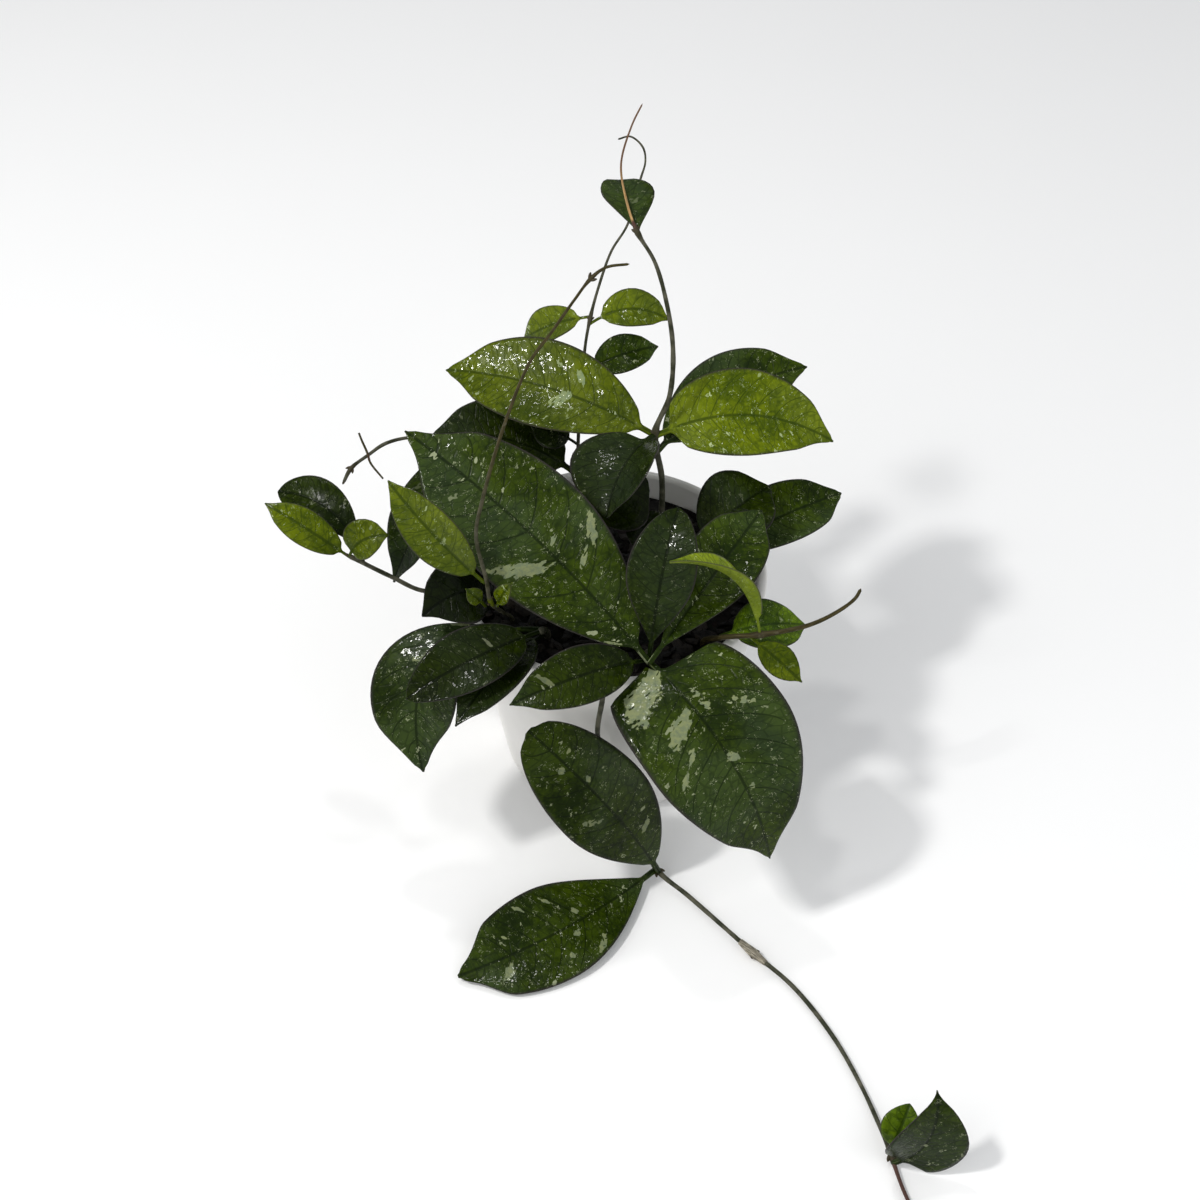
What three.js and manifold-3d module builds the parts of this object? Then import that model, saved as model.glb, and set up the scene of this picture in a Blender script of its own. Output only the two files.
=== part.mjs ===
// A hoya in a plain white pot: a climbing plant with speckled leaves in pairs on thin stems, some of them
// standing above the pot and one hanging over its front and lying on the table.
// Millimetres, +Z up, +X right and -Y towards the viewer. The origin is the middle of the pot's foot.
import * as THREE from "three";
import { mergeVertices } from "three/addons/utils/BufferGeometryUtils.js";
import Module from "manifold-3d";

const wasm = await Module();
wasm.setup();

// Pot and soil
const POT_HEIGHT = 100;
const RIM_RADIUS = 63;
const FOOT_RADIUS = 46;
const WALL = 4;
const FLOOR = 5;
const FOOT_CHAMFER = 1.5;
const SOIL_TOP = 86;
const SOIL_MOUND = 2;
const SOIL_GAP = 0.4;
const POT_SIDES = 36;
const POT_LEVELS = [0.12, 0.45, 0.75];
const POT_FLARE = 0.15;
const LIP_STEP = 0.3;
const SOIL_LEVELS = [0.13, 0.45, 0.75];
const MOUND_FROM = 0.93;
const MOUND_SHOULDER = [0.5, 0.7];

// Stems and the holes that they stand in
const FOOT_LEVELS = [-20, -8, 4];
const STEM_SIDES = 6;
const STEM_STEP = 8;
const HOLE_DEPTH = 22;
const HOLE_GAP = 0.9;
const HOLE_SIDES = 10;
const KNUCKLE_SWELL = 0.5;
const KNUCKLE_SPREAD = 3;
const TENDRIL_RADIUS = [0.5, 0.5];

// Leaves
const BLADE = 1;
const STALK_RADIUS = 1.3;
const STALK_LENGTH = 4;
const STALK_TURN = 1.3;
const STALK_ROUND_TO = 0.7;
const CUT_GAP = 0.35;
const STATION_STEP = 8;
const MOST_STATIONS = 10;
const FEWEST_STATIONS = 5;
const COLUMNS = [-1, -0.55, 0, 0.55, 1];
const BLADE_START = 0.06;
const BLADE_END = 0.988;
const POINT_FROM = 0.8;
const POINT_TO = 0.97;
const THINNEST_HALF = 0.5;
const WAVE = 0.5;
const WAVES = 9;
const WAVE_SKEW = 2;
const FOLD_CURVE = 1.5;
const DROOP_CURVE = 5;
const TANGENT_STEP = 0.01;

const COLOURS = {
  pot: { color: 0xe9e6e1, roughness: 0.45, metalness: 0 },
  soil: { color: 0x1d1712, roughness: 0.95, metalness: 0 },
  stem: { color: 0x4a4f3a, roughness: 0.55, metalness: 0 },
  runner: { color: 0x6a4a30, roughness: 0.6, metalness: 0 },
  mature: { color: 0x24401a, roughness: 0.35, metalness: 0 },
  young: { color: 0x6f9a1c, roughness: 0.35, metalness: 0 },
};

const vec = (p) => new THREE.Vector3(p[0], p[1], p[2]);

// A closed skin through rings of equal count, with a flat cap at each end. Both faces of a blade are split
// along the same diagonal, so that a waved blade never cuts itself.
function loft(rings) {
  const count = rings[0].length;
  const positions = rings.flat().flatMap((p) => [p.x, p.y, p.z]);
  const index = [];
  for (let i = 0; i + 1 < rings.length; i++) {
    for (let j = 0; j < count; j++) {
      const a = i * count + j;
      const b = i * count + ((j + 1) % count);
      const c = a + count;
      const d = b + count;
      if (j < count / 2) index.push(a, b, d, a, d, c);
      else index.push(a, b, c, b, d, c);
    }
  }
  const last = (rings.length - 1) * count;
  for (let j = 1; j + 1 < count; j++) {
    index.push(0, j + 1, j);
    index.push(last, last + j, last + j + 1);
  }
  const geometry = new THREE.BufferGeometry();
  geometry.setAttribute("position", new THREE.Float32BufferAttribute(positions, 3));
  geometry.setIndex(index);
  geometry.computeVertexNormals();
  return geometry;
}

// Geometry to boolean solid and back.
function solid(geometry) {
  const bare = geometry.clone();
  bare.deleteAttribute("normal");
  bare.deleteAttribute("uv");
  const merged = mergeVertices(bare, 1e-3);
  return new wasm.Manifold(
    new wasm.Mesh({
      numProp: 3,
      vertProperties: merged.attributes.position.array,
      triVerts: new Uint32Array(merged.index.array),
    }),
  );
}

function geometryOf(body) {
  const mesh = body.getMesh();
  const geometry = new THREE.BufferGeometry();
  geometry.setAttribute("position", new THREE.BufferAttribute(mesh.vertProperties, 3));
  geometry.setIndex(new THREE.BufferAttribute(mesh.triVerts, 1));
  return geometry;
}

const plant = new THREE.Group();

function addPiece(name, geometry, look) {
  const mesh = new THREE.Mesh(geometry, new THREE.MeshStandardMaterial(COLOURS[look]));
  mesh.name = name;
  plant.add(mesh);
}

// Outer radius of the pot at a height: a plain cone that widens a little faster near the rim.
function potRadius(z) {
  const share = z / POT_HEIGHT;
  return FOOT_RADIUS + (RIM_RADIUS - FOOT_RADIUS) * ((1 - POT_FLARE) * share + POT_FLARE * share * share);
}

// The pot: foot, tapering wall and a rounded lip.
function potGeometry() {
  const lip = WALL / 2;
  const outside = POT_LEVELS.map((share) => share * POT_HEIGHT);
  const profile = [
    [0, 0],
    [FOOT_RADIUS - FOOT_CHAMFER, 0],
    [FOOT_RADIUS, FOOT_CHAMFER],
    ...outside.map((z) => [potRadius(z), z]),
    [RIM_RADIUS, POT_HEIGHT - lip],
    [RIM_RADIUS - LIP_STEP * lip, POT_HEIGHT - LIP_STEP * lip],
    [RIM_RADIUS - lip, POT_HEIGHT],
    [RIM_RADIUS - (2 - LIP_STEP) * lip, POT_HEIGHT - LIP_STEP * lip],
    [RIM_RADIUS - WALL, POT_HEIGHT - lip],
    ...outside.reverse().map((z) => [potRadius(z) - WALL, z]),
    [potRadius(FLOOR) - WALL - FOOT_CHAMFER, FLOOR],
    [0, FLOOR],
  ];
  return new THREE.LatheGeometry(
    profile.map(([r, z]) => new THREE.Vector2(r, z)),
    POT_SIDES,
  ).rotateX(Math.PI / 2);
}

// The soil fills the pot to a low mound, with a plain hole for each stem.
function soilGeometry(feet) {
  const gap = WALL + SOIL_GAP;
  const levels = SOIL_LEVELS.map((share) => share * POT_HEIGHT);
  const edge = potRadius(SOIL_TOP) - gap;
  const profile = [
    [0, FLOOR + SOIL_GAP],
    [potRadius(FLOOR) - gap - 2 * FOOT_CHAMFER, FLOOR + SOIL_GAP],
    ...levels.map((z) => [potRadius(z) - gap - 0.1, z]),
    [edge, SOIL_TOP - 1],
    [MOUND_FROM * edge, SOIL_TOP],
    [MOUND_SHOULDER[0] * edge, SOIL_TOP + MOUND_SHOULDER[1] * SOIL_MOUND],
    [0, SOIL_TOP + SOIL_MOUND],
  ];
  let soil = solid(
    new THREE.LatheGeometry(
      profile.map(([r, z]) => new THREE.Vector2(r, z)),
      POT_SIDES,
    ).rotateX(Math.PI / 2),
  );
  for (const { x, y, radius } of feet) {
    const wide = radius + HOLE_GAP;
    const hole = new THREE.CylinderGeometry(wide, wide, 2 * HOLE_DEPTH, HOLE_SIDES)
      .rotateX(Math.PI / 2)
      .translate(x, y, SOIL_TOP);
    soil = soil.subtract(solid(hole));
  }
  return geometryOf(soil);
}

// A smooth line through points, in short straight stretches, passing through each of the points. reach holds
// how far along the line each point lies, and radiusAt gives the stem's radius at a distance along it: it
// thins from radius[0] to radius[1] and swells to a small knuckle round the points in knuckles.
function middleLine(points, radius, knuckles) {
  const curve = new THREE.CatmullRomCurve3(points.map(vec), false, "centripetal");
  const last = points.length - 1;
  const places = [curve.getPoint(0)];
  const distances = [0];
  const reach = [0];
  for (let i = 0; i < last; i++) {
    const cuts = Math.max(1, Math.round(vec(points[i]).distanceTo(vec(points[i + 1])) / STEM_STEP));
    for (let k = 1; k <= cuts; k++) {
      const place = curve.getPoint((i + k / cuts) / last);
      distances.push(distances.at(-1) + place.distanceTo(places.at(-1)));
      places.push(place);
    }
    reach.push(distances.at(-1));
  }
  const radiusAt = (distance) => {
    const near = Math.min(...knuckles.map((i) => Math.abs(reach[i] - distance)), 99);
    const swell = KNUCKLE_SWELL * Math.exp(-((near / KNUCKLE_SPREAD) ** 2));
    return THREE.MathUtils.lerp(radius[0], radius[1], distance / reach[last]) + swell;
  };
  return { places, distances, reach, radiusAt };
}

// The direction of a line at its place i.
function directionAt({ places }, i) {
  const before = places[Math.max(i - 1, 0)];
  const after = places[Math.min(i + 1, places.length - 1)];
  return after.clone().sub(before).normalize();
}

// A round tube along a line, as a closed skin.
function tube(line) {
  let normal = new THREE.Vector3(1, 0.2, 0);
  const rings = line.places.map((place, i) => {
    const along = directionAt(line, i);
    normal = normal.clone().addScaledVector(along, -normal.dot(along)).normalize();
    const thick = line.radiusAt(line.distances[i]);
    return Array.from({ length: STEM_SIDES }, (_, j) => {
      const turn = (2 * Math.PI * j) / STEM_SIDES;
      return place.clone().addScaledVector(normal.clone().applyAxisAngle(along, turn), thick);
    });
  });
  return loft(rings);
}

// A stem, with its tendril grown onto it where it has one.
function stemGeometry(stem) {
  const main = tube(stem.line);
  if (!stem.tendril) return main;
  return geometryOf(solid(main).add(solid(tube(middleLine(stem.tendril, TENDRIL_RADIUS, [])))));
}

// What a leaf has unless its own line says otherwise.
const PLAIN_LEAF = {
  widest: 0.48,
  base: 0.6,
  blunt: 0.75,
  point: 0.35,
  fold: 12,
  arch: 4,
  droop: 0,
  sweep: 0,
  slide: 0,
  stalk: STALK_LENGTH,
};

// Half the width of a blade, as a share of its half width, at a share t of its length. It is widest at
// leaf.widest. A small leaf.base makes it fuller towards the stalk and a small leaf.blunt fuller towards
// the tip, and leaf.point draws the tip in.
function outline(t, leaf) {
  const bend = Math.log(0.5) / Math.log(leaf.widest);
  const oval = Math.sin(Math.PI * t ** bend) ** (t < leaf.widest ? leaf.base : leaf.blunt);
  const point = 1 - leaf.point * THREE.MathUtils.smoothstep(t, POINT_FROM, POINT_TO);
  return Math.max(oval * point, 0);
}

// Where a leaf grows from: a place on its stem's line, the direction of the stem there and its radius.
function jointOf({ stem, at, slide }) {
  const { places, distances, reach, radiusAt } = stem.line;
  const distance = reach[at] + slide;
  const beyond = distances.findIndex((d) => d > distance);
  const i = beyond < 0 ? places.length - 1 : beyond;
  const along = places[i].clone().sub(places[i - 1]).normalize();
  const place = places[i - 1].clone().addScaledVector(along, distance - distances[i - 1]);
  return { place, along, radius: radiusAt(distance) };
}

// The line down the middle of a leaf, as a function of the share s of the way from its joint to its tip. It
// stands off the straight line by leaf.arch on the side that the face looks to and by leaf.sweep sideways,
// and its end hangs by leaf.droop. It starts beside the stem, clear of it by the cut gap.
function midrib(leaf, face) {
  const { place, along, radius } = jointOf(leaf);
  const chord = vec(leaf.tip).sub(place);
  const axis = chord.clone().normalize();
  face.addScaledVector(axis, -face.dot(axis)).normalize();
  const side = axis.clone().cross(face);
  const bow = face.clone().multiplyScalar(4 * leaf.arch).addScaledVector(side, 4 * leaf.sweep);
  const heading = chord.clone().add(bow).normalize();
  const lean = heading.dot(along);
  const outward = heading.clone().addScaledVector(along, -lean).normalize();
  const start = place.addScaledVector(outward, leaf.off ?? radius + CUT_GAP + STALK_RADIUS * Math.abs(lean));
  chord.copy(vec(leaf.tip).sub(start));
  const at = (s) =>
    start
      .clone()
      .addScaledVector(chord, s)
      .addScaledVector(bow, s * (1 - s))
      .addScaledVector(face, -leaf.droop * s ** DROOP_CURVE);
  return { at, length: chord.length() };
}

// A leaf is one skin from the end of its round stalk to its tip. Its face looks along leaf.faces, its halves
// rise by leaf.fold degrees towards the edge and the edge waves.
function leafGeometry(leaf) {
  const face = vec(leaf.faces);
  const { at, length } = midrib(leaf, face);
  const fold = THREE.MathUtils.degToRad(leaf.fold);
  const ring = (s, shape) => {
    const middle = at(s);
    const tangent = at(s + TANGENT_STEP).sub(at(s - TANGENT_STEP)).normalize();
    const across = tangent.clone().cross(face).normalize();
    const up = across.clone().cross(tangent);
    const row = (sign) =>
      COLUMNS.map((v) => {
        const [out, rise] = shape(v, sign);
        return middle.clone().addScaledVector(across, out).addScaledVector(up, rise);
      });
    return [...row(1), ...row(-1).reverse()];
  };
  const stalk = (v, sign) => [
    STALK_RADIUS * Math.sin(STALK_TURN * v),
    sign * STALK_RADIUS * Math.cos(STALK_TURN * v),
  ];
  const blade = (s, half) => (v, sign) => {
    const lift = half * Math.abs(v) ** FOLD_CURVE * Math.sin(fold);
    const wave = WAVE * v * v * (half / (leaf.width / 2)) * Math.sin(WAVES * s + WAVE_SKEW * v);
    return [half * v * Math.cos(fold), lift + wave + (sign * BLADE) / 2 / Math.cos(fold)];
  };
  const neck = leaf.stalk / length;
  const rings = [ring(0, stalk), ring(STALK_ROUND_TO * neck, stalk)];
  const stations = THREE.MathUtils.clamp(Math.round(length / STATION_STEP), FEWEST_STATIONS, MOST_STATIONS);
  for (let i = 0; i <= stations; i++) {
    const t = THREE.MathUtils.lerp(BLADE_START, BLADE_END, i / stations);
    const s = THREE.MathUtils.lerp(neck, 1, t);
    const half = Math.max((leaf.width / 2) * outline(t, leaf), THINNEST_HALF);
    rings.push(ring(s, blade(s, half)));
  }
  return loft(rings);
}

// Stems, each a list of points from its foot in the soil to its growing end.
const foot = (x, y) => FOOT_LEVELS.map((z) => [x, y, SOIL_TOP + z]);
const stems = {
  tall_stem: {
    points: [...foot(19, 15), [20, 20, 130], [17, 28, 148], [22.5, 32, 164], [23.5, 38, 183], [20.5, 45, 201],
      [16, 52, 214], [9, 58, 224], [5, 64, 234], [3, 70, 246], [7, 76, 259], [11, 80, 266]],
    radius: [1.3, 0.4],
    knuckles: [4, 9],
  },
  back_stem: {
    points: [...foot(-14, 36), [-14, 44, 129], [-13, 52, 143], [-11, 64, 164], [-9, 69, 174], [-5.5, 73, 187],
      [-0.5, 80, 199], [6, 87, 207], [11, 96, 222], [13, 100, 228], [12, 102, 233], [7, 102, 238],
      [2, 100, 238]],
    radius: [1.1, 0.45],
    knuckles: [4, 6],
  },
  front_runner: {
    points: [...foot(-40, -20), [-43, -31, 106], [-47, -41, 122], [-48, -44, 137], [-51, -42, 158],
      [-48, -40, 174], [-40, -36, 203], [-29, -33, 233], [-22, -31, 243], [-14, -30, 256], [-8, -28, 264],
      [-3, -26, 267], [5, -24, 267]],
    radius: [1.15, 0.6],
    knuckles: [4, 12],
    look: "runner",
  },
  left_arching_stem: {
    points: [...foot(-34, 18), [-48, 24, 120], [-66, 30, 141], [-79, 28, 146], [-90, 22, 148], [-97, 17, 146],
      [-103, 9, 146], [-106, 5, 142]],
    radius: [1.3, 0.8],
    knuckles: [8],
    tendril: [[-100, 20, 155], [-99, 19, 152], [-97, 17, 147], [-96, 15, 144], [-91, 11, 139]],
  },
  left_stem: {
    points: [...foot(-43, 0), [-53, -13, 105], [-74, -22, 109], [-87, -22, 117], [-104, -18, 125]],
    radius: [1.3, 1],
    knuckles: [6],
  },
  trailing_stem: {
    points: [...foot(-4, -44), [-3, -54, 99], [-3, -61, 103], [-4, -68, 97], [-6, -68, 76], [-2, -62, 50],
      [6, -60, 24], [13, -69, 7], [19, -80, 4], [31, -91, 2], [56, -119, 2.1], [71, -135, 1.8],
      [85, -158, 1.6], [94, -180, 1.5], [100, -200, 1.6], [102, -209, 2], [105, -222, 1.5],
      [111, -240, 1.3]],
    radius: [1.3, 0.9],
    knuckles: [10, 12, 17],
  },
  right_runner: {
    points: [...foot(36, -32), [41, -41, 102], [47, -45, 107], [57, -46, 109], [75, -45, 113], [86, -41, 116],
      [94, -35, 118], [96, -33, 121]],
    radius: [1.2, 0.6],
    knuckles: [5],
    look: "runner",
  },
  centre_stem: {
    points: [...foot(14, -38), [14, -47, 97], [14, -56, 104]],
    radius: [1.7, 1.5],
  },
  left_low_stem: {
    points: [...foot(-26, -28), [-27, -34, 99], [-28, -43, 108]],
    radius: [1.6, 1.4],
  },
  right_back_stem: {
    points: [...foot(31, 4), [32, 4, 100], [33, 4, 110]],
    radius: [1.5, 1.3],
  },
  middle_stem: {
    points: [...foot(-16, 0), [-18, 4, 104], [-20, 10, 122]],
    radius: [1.4, 1.2],
  },
};

// Leaves by the stem that they grow on: which of its points carries the leaf, its tip, its full width and
// which way its face looks. slide moves the joint along the stem. off is how far from the stem it starts.
const leaves = {
  tall_stem: {
    top_heart_leaf: { at: 9, slide: -2, tip: [3.4, 84, 232.5], width: 22, faces: [0.35, -0.8, 0.6],
      stalk: 1, arch: -1, droop: 4, widest: 0.66, base: 0.75, blunt: 0.4, point: 0 },
    upper_left_leaf: { at: 4, tip: [-68, 62, 153], width: 39, faces: [0, -0.5, 0.9], stalk: 3, sweep: 4,
      widest: 0.5, base: 0.72, blunt: 0.7, look: "young" },
    upper_right_leaf: { at: 4, tip: [89, 32, 140.3], width: 38, faces: [0, -0.5, 0.9], stalk: 3,
      sweep: -8, widest: 0.44, base: 0.5, look: "young" },
    upper_right_dark_leaf: { at: 4, slide: -7, tip: [79.8, 63, 154], width: 34, faces: [0, -0.4, 0.9],
      stalk: 3, arch: -2, sweep: -7, widest: 0.55 },
    folded_dark_leaf: { at: 4, slide: -1, tip: [-2.2, -8, 135], width: 42, faces: [-0.5, -0.3, 0.8],
      stalk: 3, arch: 5, sweep: 1, fold: 24, base: 0.6 },
  },
  back_stem: {
    back_left_young_leaf: { at: 6, tip: [-37, 80, 153.5], width: 17, faces: [0, -0.5, 0.9], stalk: 2,
      sweep: 0, base: 0.6, look: "young" },
    back_right_young_leaf: { at: 6, tip: [22.6, 70, 172.5], width: 17, faces: [0, -0.5, 0.9], stalk: 2,
      sweep: -3, look: "young" },
    back_small_leaf: { at: 5, slide: -10, tip: [18.6, 66, 162], width: 17, faces: [0, -0.5, 0.9],
      stalk: 3, sweep: 0 },
    under_upper_leaf: { at: 3, slide: -13, tip: [-75, 50, 128], width: 34, faces: [0, -0.4, 0.9],
      sweep: 5 },
    small_dark_leaf: { at: 3, slide: 1, tip: [-33, 46, 136], width: 16, faces: [0, -0.5, 0.8], stalk: 3,
      sweep: 0 },
  },
  front_runner: {
    long_lime_leaf: { at: 5, tip: [-84, -25, 170], width: 20, faces: [-0.3, -0.7, 0.6], stalk: 3,
      look: "young" },
    young_leaf_left: { at: 4, tip: [-56, -43, 131], width: 7, faces: [0, -0.7, 0.7], stalk: 2,
      arch: 1, look: "young" },
    young_leaf_right: { at: 4, tip: [-38, -50, 141], width: 7, faces: [0, -0.7, 0.7], stalk: 2, arch: 1,
      look: "young" },
    left_inner_leaf: { at: 3, tip: [-73.5, -44, 117], width: 28, faces: [0, -0.5, 0.85], arch: 7,
      sweep: 6, base: 0.7 },
  },
  left_stem: {
    left_tip_light_leaf: { at: 6, slide: 1, off: 0, tip: [-135, -8, 143], width: 14.5,
      faces: [0, -0.6, 0.8], stalk: 1.5, look: "young" },
    left_cupped_leaf: { at: 6, slide: -1, tip: [-87, -18, 135.5], width: 17, faces: [0, -0.6, 0.8],
      stalk: 0.8, arch: 2, sweep: -2, fold: 20, base: 0.4, look: "young" },
    left_dark_leaf: { at: 6, slide: -5, tip: [-132.3, 6, 136.4], width: 19, faces: [0, -0.5, 0.9],
      sweep: 6, widest: 0.6, blunt: 0.6, point: 0 },
  },
  trailing_stem: {
    leaning_leaf: { at: 10, tip: [-33, -68, 78], width: 40, faces: [0.1, -0.75, 0.66], arch: 10,
      sweep: 3, widest: 0.56, base: 0.75, blunt: 0.42, point: 0 },
    table_leaf: { at: 10, slide: -1, tip: [-61, -131, 3], width: 41, faces: [0, -0.3, 0.95], arch: 3,
      sweep: -4.5, fold: 8, widest: 0.55, base: 0.9, blunt: 0.5, point: 0.5 },
    end_back_leaf: { at: 17, slide: -2, tip: [108.5, -196, 17], width: 15, faces: [-0.2, -0.7, 0.5],
      stalk: 1.5, arch: 2, point: 0.35 },
    end_heart_leaf: { at: 17, slide: 3, tip: [115, -204, 39], width: 31, faces: [0.2, -0.8, 0.5],
      stalk: 2, sweep: 4, widest: 0.38, base: 0.5, blunt: 1.1, point: 0.3 },
  },
  right_runner: {
    right_strap_leaf: { at: 5, tip: [21, -48, 150], width: 14, faces: [0.65, 0.5, 0.55], stalk: 4,
      arch: 10, fold: 28, look: "young" },
    right_young_leaf: { at: 5, slide: -2, tip: [73, -59.5, 96.5], width: 13, faces: [0.2, -0.6, 0.7],
      stalk: 1.5, arch: 1, blunt: 1, look: "young" },
    right_rim_leaf: { at: 3, tip: [76.5, -31, 98.5], width: 24, faces: [0, -0.2, 1], arch: 4, fold: 4 },
  },
  centre_stem: {
    big_left_leaf: { at: 4, tip: [-81, 14, 161], width: 50, faces: [0.05, -0.6, 0.75], sweep: 4,
      fold: 8, widest: 0.49, base: 0.82, blunt: 0.65, point: 0.5 },
    big_front_leaf: { at: 4, tip: [61, -104, 44], width: 60, faces: [0.2, -0.65, 0.7], stalk: 2,
      arch: 20, sweep: -2.5, fold: 6, widest: 0.38, base: 0.3, blunt: 0.75, point: 0.45 },
    centre_dark_leaf: { at: 4, slide: -3, tip: [24, -20, 151], width: 28, faces: [-0.2, -0.6, 0.75],
      droop: 5, widest: 0.55, base: 1, blunt: 0.6, point: 0 },
    right_dark_leaf: { at: 4, slide: 1.5, tip: [59, 3, 129], width: 30, faces: [-0.1, -0.7, 0.7],
      widest: 0.6, base: 0.8, blunt: 0.6 },
    hooked_front_leaf: { at: 4, slide: -2, tip: [-39, -79, 105], width: 23, faces: [0, -0.6, 0.8],
      arch: 10, sweep: 1, base: 0.7 },
  },
  right_back_stem: {
    back_rim_leaf: { at: 4, tip: [64, 23, 124], width: 34, faces: [0, -0.3, 0.95], stalk: 2, sweep: 0,
      widest: 0.55, base: 0.5 },
    right_green_leaf: { at: 3, tip: [95, 34, 110.5], width: 29, faces: [0, -0.3, 0.95], widest: 0.58,
      blunt: 0.65 },
    inner_leaf_right: { at: 3, tip: [4, 12, 118], width: 20, faces: [0, -0.5, 0.8] },
  },
  left_low_stem: {
    left_shaded_leaf: { at: 4, tip: [-78, -74, 105], width: 26, faces: [0, -0.4, 0.9], droop: 4,
      blunt: 0.65, point: 0 },
    arching_left_leaf: { at: 3, slide: 3.5, tip: [-74, -78, 65], width: 40, faces: [-0.4, -0.4, 0.8],
      arch: 17, sweep: 17.5, widest: 0.64, base: 1 },
    under_left_leaf: { at: 3, slide: -4, tip: [-60, -80, 94], width: 22, faces: [0, -0.3, 0.95],
      arch: 8.5, base: 0.8 },
  },
  left_arching_stem: {
    hanging_left_leaf: { at: 4, tip: [-87, -16, 108], width: 28, faces: [-0.6, -0.4, 0.7], sweep: -4.5 },
  },
  middle_stem: {
    inner_leaf_left: { at: 4, tip: [14, 17, 132.5], width: 33, faces: [0, -0.75, 0.6], widest: 0.62,
      blunt: 0.5 },
  },
};

for (const stem of Object.values(stems)) {
  stem.line = middleLine(stem.points, stem.radius, stem.knuckles || []);
}

const feet = Object.values(stems).map((stem) => ({
  x: stem.points[0][0],
  y: stem.points[0][1],
  radius: stem.radius[0],
}));

addPiece("pot", potGeometry(), "pot");
addPiece("soil", soilGeometry(feet), "soil");
for (const [name, stem] of Object.entries(stems)) {
  addPiece(name, stemGeometry(stem), stem.look || "stem");
}
for (const [stemName, growing] of Object.entries(leaves)) {
  for (const [name, leaf] of Object.entries(growing)) {
    const whole = { ...PLAIN_LEAF, ...leaf, stem: stems[stemName] };
    addPiece(name, leafGeometry(whole), leaf.look || "mature");
  }
}

export default plant;
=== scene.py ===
import bpy
import numpy as np
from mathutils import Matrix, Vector


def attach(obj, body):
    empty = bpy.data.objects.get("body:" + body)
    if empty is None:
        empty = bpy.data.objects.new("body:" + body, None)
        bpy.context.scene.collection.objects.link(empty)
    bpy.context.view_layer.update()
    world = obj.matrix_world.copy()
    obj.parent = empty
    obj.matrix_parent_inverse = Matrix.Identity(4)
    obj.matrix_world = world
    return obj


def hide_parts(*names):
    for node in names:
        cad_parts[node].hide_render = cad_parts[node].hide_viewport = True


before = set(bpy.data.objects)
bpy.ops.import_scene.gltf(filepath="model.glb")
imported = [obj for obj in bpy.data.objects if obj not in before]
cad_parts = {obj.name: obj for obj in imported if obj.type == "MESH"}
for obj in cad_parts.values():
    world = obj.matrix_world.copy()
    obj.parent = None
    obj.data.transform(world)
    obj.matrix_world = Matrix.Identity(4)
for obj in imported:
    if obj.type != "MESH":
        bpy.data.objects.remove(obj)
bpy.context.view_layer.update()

# The table and the light. The plant stands on a plain white table, seen from above the front of it, in soft
# light from both sides. Two small lamps above it make the wet leaves sparkle.
camera = bpy.data.objects.new("camera", bpy.data.cameras.new("camera"))
bpy.context.collection.objects.link(camera)
camera.location = (-0.005, -0.5837, 0.6657)
camera.rotation_euler = (np.radians(45), 0, 0)
camera.data.sensor_width = 36
camera.data.lens = 60
bpy.context.scene.camera = camera

world = bpy.data.worlds.new("white_room")
world.use_nodes = True
world.node_tree.nodes["Background"].inputs["Color"].default_value = (0.95, 0.97, 1, 1)
world.node_tree.nodes["Background"].inputs["Strength"].default_value = 0.4
bpy.context.scene.world = world
bpy.context.scene.view_settings.view_transform = "Standard"


def area_light(name, place, aim, size, watts, colour, mirrored=True):
    """A square lamp at place that shines towards aim. Glossy skins mirror it unless mirrored is off."""
    light = bpy.data.lights.new(name, "AREA")
    light.size = size
    light.energy = watts
    light.color = colour
    lamp = bpy.data.objects.new(name, light)
    lamp.location = place
    lamp.visible_glossy = mirrored
    toward = Vector(aim) - Vector(place)
    lamp.rotation_euler = toward.to_track_quat("-Z", "Y").to_euler()
    bpy.context.collection.objects.link(lamp)


area_light("left_panel", (-1.0, -0.75, 0.85), (0, 0, 0.1), 1.8, 10, (1, 0.99, 0.97), False)
area_light("right_panel", (1.0, -0.6, 0.8), (0, 0, 0.1), 1.8, 8, (0.98, 0.99, 1), False)
area_light("top_lamp", (-0.78, -0.39, 1.38), (0, 0, 0.1), 0.14, 11, (1, 0.99, 0.97))
area_light("wet_lamp", (-0.2, 0.38, 1.38), (-0.02, 0.02, 0.13), 0.08, 2, (1, 0.99, 0.97))

# The table top, a wide sheet of plain white board.


def shader(name):
    """A new material, and a function that adds a node to it: numbers and colours fill the inputs named, and
    an output given there is linked. The kind "surface" stands for its principled shader."""
    material = bpy.data.materials.new(name)
    material.use_nodes = True
    tree = material.node_tree
    surface = tree.nodes["Principled BSDF"]

    def node(kind, inputs=(), **settings):
        made = surface if kind == "surface" else tree.nodes.new("ShaderNode" + kind)
        for key, value in settings.items():
            setattr(made, key, value)
        for key, value in dict(inputs).items():
            if isinstance(value, bpy.types.NodeSocket):
                tree.links.new(value, made.inputs[key])
            else:
                made.inputs[key].default_value = value
        return made

    return material, node


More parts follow.
